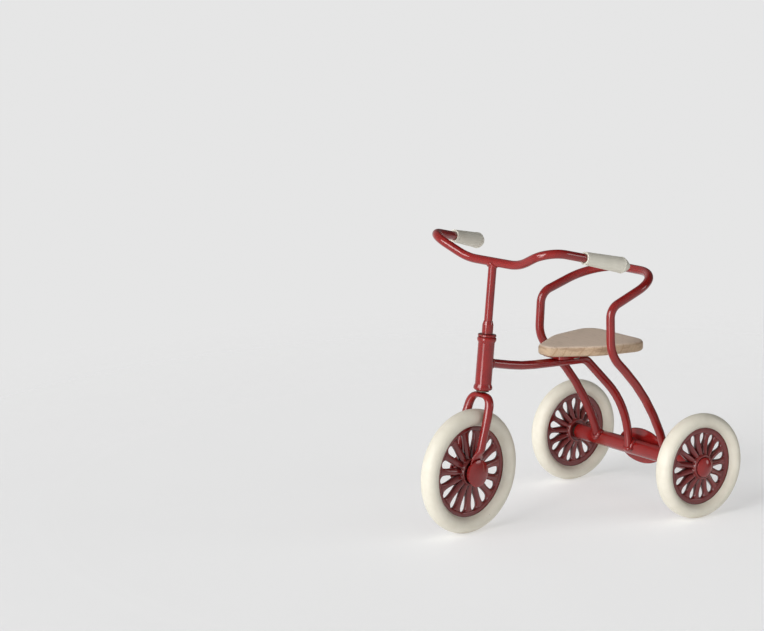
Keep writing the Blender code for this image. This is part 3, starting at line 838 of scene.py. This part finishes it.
def handlebar():
    """One bent rod on the stem; it ends a little way inside the grips."""
    middle = head_point(STEM_LENGTH)
    half_straight, short_of_grip_end = 10.0, 2.0
    corners = []
    for side, sign in SIDES:
        shoulder, grip_end, _ = BAR_ENDS[side]
        end = grip_end - (grip_end - shoulder).normalized() * short_of_grip_end
        bend = (half_straight * sign, middle.y, middle.z)
        half = [(bend, 14), (tuple(shoulder), 6.5), (tuple(end), 0)]
        corners = half[::-1] + corners if sign > 0 else corners + half
    shape = sweep(bent_path(corners), ROD_R)
    piece("handlebar_coat", shape, RED, "steering_column", ["handlebar"], BAR_TURN)


def grips():
    """Rubber sleeves: a barrel that widens from its mouth to a thin ridge, and a tapered end."""
    mouth, widest, bore = 1.95, 2.48, ROD_R + 0.03
    for side, (shoulder, end, length) in BAR_ENDS.items():
        along = (end - shoulder).normalized()
        turn = along.to_track_quat("Z", "Y").to_matrix().to_4x4()
        profile = [
            (0, length, 0), (0.95, length, 0.6), (2.0, length - 1.7, 1.2),
            (widest - 0.08, length - 2.75, 0.2), (widest + 0.03, length - 2.85, 0.1),
            (widest + 0.03, length - 3.2, 0.1), (widest - 0.06, length - 3.35, 0.1),
            (mouth, 0.5, 0.3), (mouth - 0.02, 0, 0.22), (bore, 0, 0.12),
            (bore, length - 1.6, 0.1), (0, length - 1.6, 0),
        ]
        place = BAR_TURN @ at(*(end - along * length), turn)
        shape = lathe(eased(profile), steps=56)
        name = f"grip_{side}"
        piece(name + "_skin", shape, GRIP, "steering_column", [name], place, sharp=60)


# ---------------------------------------------------------------- wheels
def slot_half_width(r, inner, outer, widest):
    """Half the width of a drop-shaped hole at a radius: 0 at both of its ends."""
    centre = outer - widest
    if not inner < r < outer:
        return 0.0
    if r > centre:
        return sqrt(max(0.0, widest * widest - (r - centre) ** 2))
    return widest * sin(pi / 2 * (r - inner) / (centre - inner)) ** 2.0


def wheel_rows(lip, hub_r, hub_half, inner, outer, widest):
    """(radius, half thickness) from the bore to the edge that the tyre hides."""
    shoulder = hub_half - 0.45
    rows = [
        (AXLE_R + GAP, hub_half), (hub_r - 0.72, hub_half), (hub_r - 0.66, hub_half + 0.12),
        (hub_r - 0.56, hub_half + 0.2), (hub_r - 0.25, hub_half + 0.2), (hub_r - 0.1, hub_half + 0.1),
        (hub_r, hub_half - 0.1), (hub_r + 0.08, shoulder + 0.03),
    ]
    centre = outer - widest
    radii = [inner + (centre - inner) * (i / 12) ** 1.2 for i in range(12)]
    radii += [centre + widest * sin(radians(a)) for a in (0, 15, 30, 45, 58, 70, 80, 90)]
    for r in radii:
        rise = (1 - (r - inner) / (outer - inner)) ** 1.35
        rows.append((r, WEB_HALF + (shoulder - WEB_HALF) * rise))
    rows += [(outer + d, WEB_HALF) for d in (0.08, 0.18, 0.34)]
    under_tyre = WEB_HALF - 0.04
    rows += [(lip - 0.35, WEB_HALF), (lip - 0.1, under_tyre), (lip + TYRE_OVERLAP, under_tyre)]
    return rows


def petal_wheel(lip, hub_r, hub_half, first_petal, reach):
    """A cast wheel body: hub, thin ribs that rise towards it, drop-shaped holes, a flat outer band.

    Each face is a grid: rings from the bore outwards and, rib by rib, columns from one hole's
    edge over the rib to the next. The holes' walls join the two faces.
    """
    pitch = 2 * pi / PETALS
    inner, outer = hub_r + HOLE_START, lip * reach
    widest = pitch * lip * HOLE_SHARE
    centre = outer - widest
    rows = wheel_rows(lip, hub_r, hub_half, inner, outer, widest)
    columns = 2 * len(FLANK_STEPS) + 1
    middle = len(FLANK_STEPS)
    points, index, faces = [], {}, []

    def vertex(face, j, k, c):
        r, z = rows[j]
        hole = slot_half_width(r, inner + 1e-6, outer - 1e-6, widest)
        if hole == 0 and c == columns - 1:
            k, c = (k + 1) % PETALS, 0
        key = (face, j, k, c)
        if key not in index:
            half = pitch * r / 2 - hole
            rise = z - WEB_HALF
            flank = min(half - 0.12, FLANK + 1.6 * rise)
            step = min(c, columns - 1 - c)
            inset = flank * FLANK_STEPS[step] if c != middle else half
            offset = (half - inset) * (-1 if c < middle else 1)
            if inner <= r <= outer + 0.35:
                # Round a hole's wide end the distance to its edge is measured from its centre
                from_edge = inset if r < centre else hypot(r - centre, hole + inset) - widest
                away = min(1.0, max(0.0, from_edge) / flank)
                steep = 0.75 + 0.5 * min(1.0, 2 * rise)
                edge = HOLE_EDGE + 0.6 * rise
                z -= (z - edge) * (1 - sin(pi / 2 * away) ** steep)
            angle = first_petal - pitch / 2 + k * pitch + offset / r
            index[key] = len(points)
            points.append(Vector((r * cos(angle), r * sin(angle), z * face)))
        return index[key]

    last = len(rows) - 1
    for k in range(PETALS):
        for j in range(last):
            for c in range(columns - 1):
                corners = ((j, c), (j, c + 1), (j + 1, c + 1), (j + 1, c))
                faces.append(tuple(vertex(1, a, k, b) for a, b in corners))
                faces.append(tuple(vertex(-1, a, k, b) for a, b in reversed(corners)))
            if inner - 1e-6 <= rows[j][0] < outer - 1e-6:
                for c in (0, columns - 1):
                    wall = ((1, j), (1, j + 1), (-1, j + 1), (-1, j))
                    faces.append(tuple(vertex(f, a, k, c) for f, a in wall))
        for j in (0, last):
            for c in range(columns - 1):
                end = ((1, c), (1, c + 1), (-1, c + 1), (-1, c))
                faces.append(tuple(vertex(f, j, k, b) for f, b in end))
    return points, faces


def tyre_profile(wheel_r):
    """A round-backed rubber ring whose two lips close over the edge of the wheel body."""
    lip = wheel_r * RIM_SHARE
    middle, height = (wheel_r + lip) / 2, (wheel_r - lip) / 2
    wall = WEB_HALF + 0.01
    start = 0.22
    arc = []
    count = 36
    for i in range(count + 1):
        angle = (pi - start) * (1 - 2 * i / count)
        arc.append((middle + height * cos(angle), TYRE_HALF * sin(angle)))
    top = [
        (lip + TYRE_OVERLAP, wall), (lip + 0.12, wall),
        (lip - 0.02, wall + 0.03), (lip - 0.03, wall + 0.12),
    ]
    upper = [p for p in arc if p[1] > wall + 0.2]
    lower = [p for p in arc if p[1] < -wall - 0.2]
    between = [p for p in arc if abs(p[1]) <= wall + 0.2 and p[0] > middle]
    bottom = [(r, -h) for r, h in reversed(top)]
    return top + upper + between + lower + bottom


def wheel(rim, tyre, body, place, sizes, first_petal, reach):
    """One wheel body and its tyre; sizes are the wheel's radius, its hub's radius and half width."""
    wheel_r, hub_r, hub_half = sizes
    shape = petal_wheel(wheel_r * RIM_SHARE, hub_r, hub_half, first_petal, reach)
    piece(rim + "_cast", shape, RIM_RED, body, [rim], place, sharp=48)
    shape = lathe(tyre_profile(wheel_r), steps=120, closed=True)
    piece(tyre + "_moulded", shape, CREAM, body, [tyre], place, sharp=60)


def wheels():
    sizes = (REAR_WHEEL_R, REAR_HUB_R, REAR_HUB_HALF)
    for (side, sign), first_petal in zip(SIDES, (radians(6), radians(12))):
        rim, tyre, body = f"rear_rim_{side}", f"rear_tyre_{side}", f"rear_wheel_{side}"
        place = at(sign * REAR_WHEEL_X, 0, REAR_WHEEL_R, ALONG_X)
        wheel(rim, tyre, body, place, sizes, first_petal, REAR_PETAL_REACH)
    sizes = (FRONT_WHEEL_R, FRONT_HUB_R, FRONT_HUB_HALF)
    place = STEERED @ at(0, -WHEELBASE, FRONT_WHEEL_R, ALONG_X)
    first_petal = radians(9.5)
    wheel("front_rim", "front_tyre", "front_wheel", place, sizes, first_petal, FRONT_PETAL_REACH)


# ---------------------------------------------------------------- CAD nodes that stay
def finish_cad_nodes():
    """CAD pieces whose shape is right get the detailed materials; the top washer's is chipped."""
    looks = {"red_enamel": RED, "bare_steel": STEEL}
    for part in frame["record"]["subparts"]:
        obj = frame["nodes"][part["node"]]
        if not obj.hide_render:
            obj.data.materials.clear()
            rubbed = part["node"] == "top_washer"
            obj.data.materials.append(CHIPPED if rubbed else looks[part["material_slot"]])


def start_clean():
    for name in ("Cube", "Light", "Camera"):
        if name in bpy.data.objects:
            bpy.data.objects.remove(bpy.data.objects[name])


start_clean()
bpy.context.scene.view_settings.view_transform = "Standard"
camera()
floor()
world()
sun("key", azimuth=-98, elevation=24, strength=0.95, size=25)
sun("side", azimuth=50, elevation=14, strength=0.25, size=20)
main_tube()
backrest_hoop()
head_tube()
axle_tube()
seat()
rear_plate()
rear_caps()
welds()
fork()
fork_eyes()
stem()
handlebar()
grips()
wheels()
finish_cad_nodes()
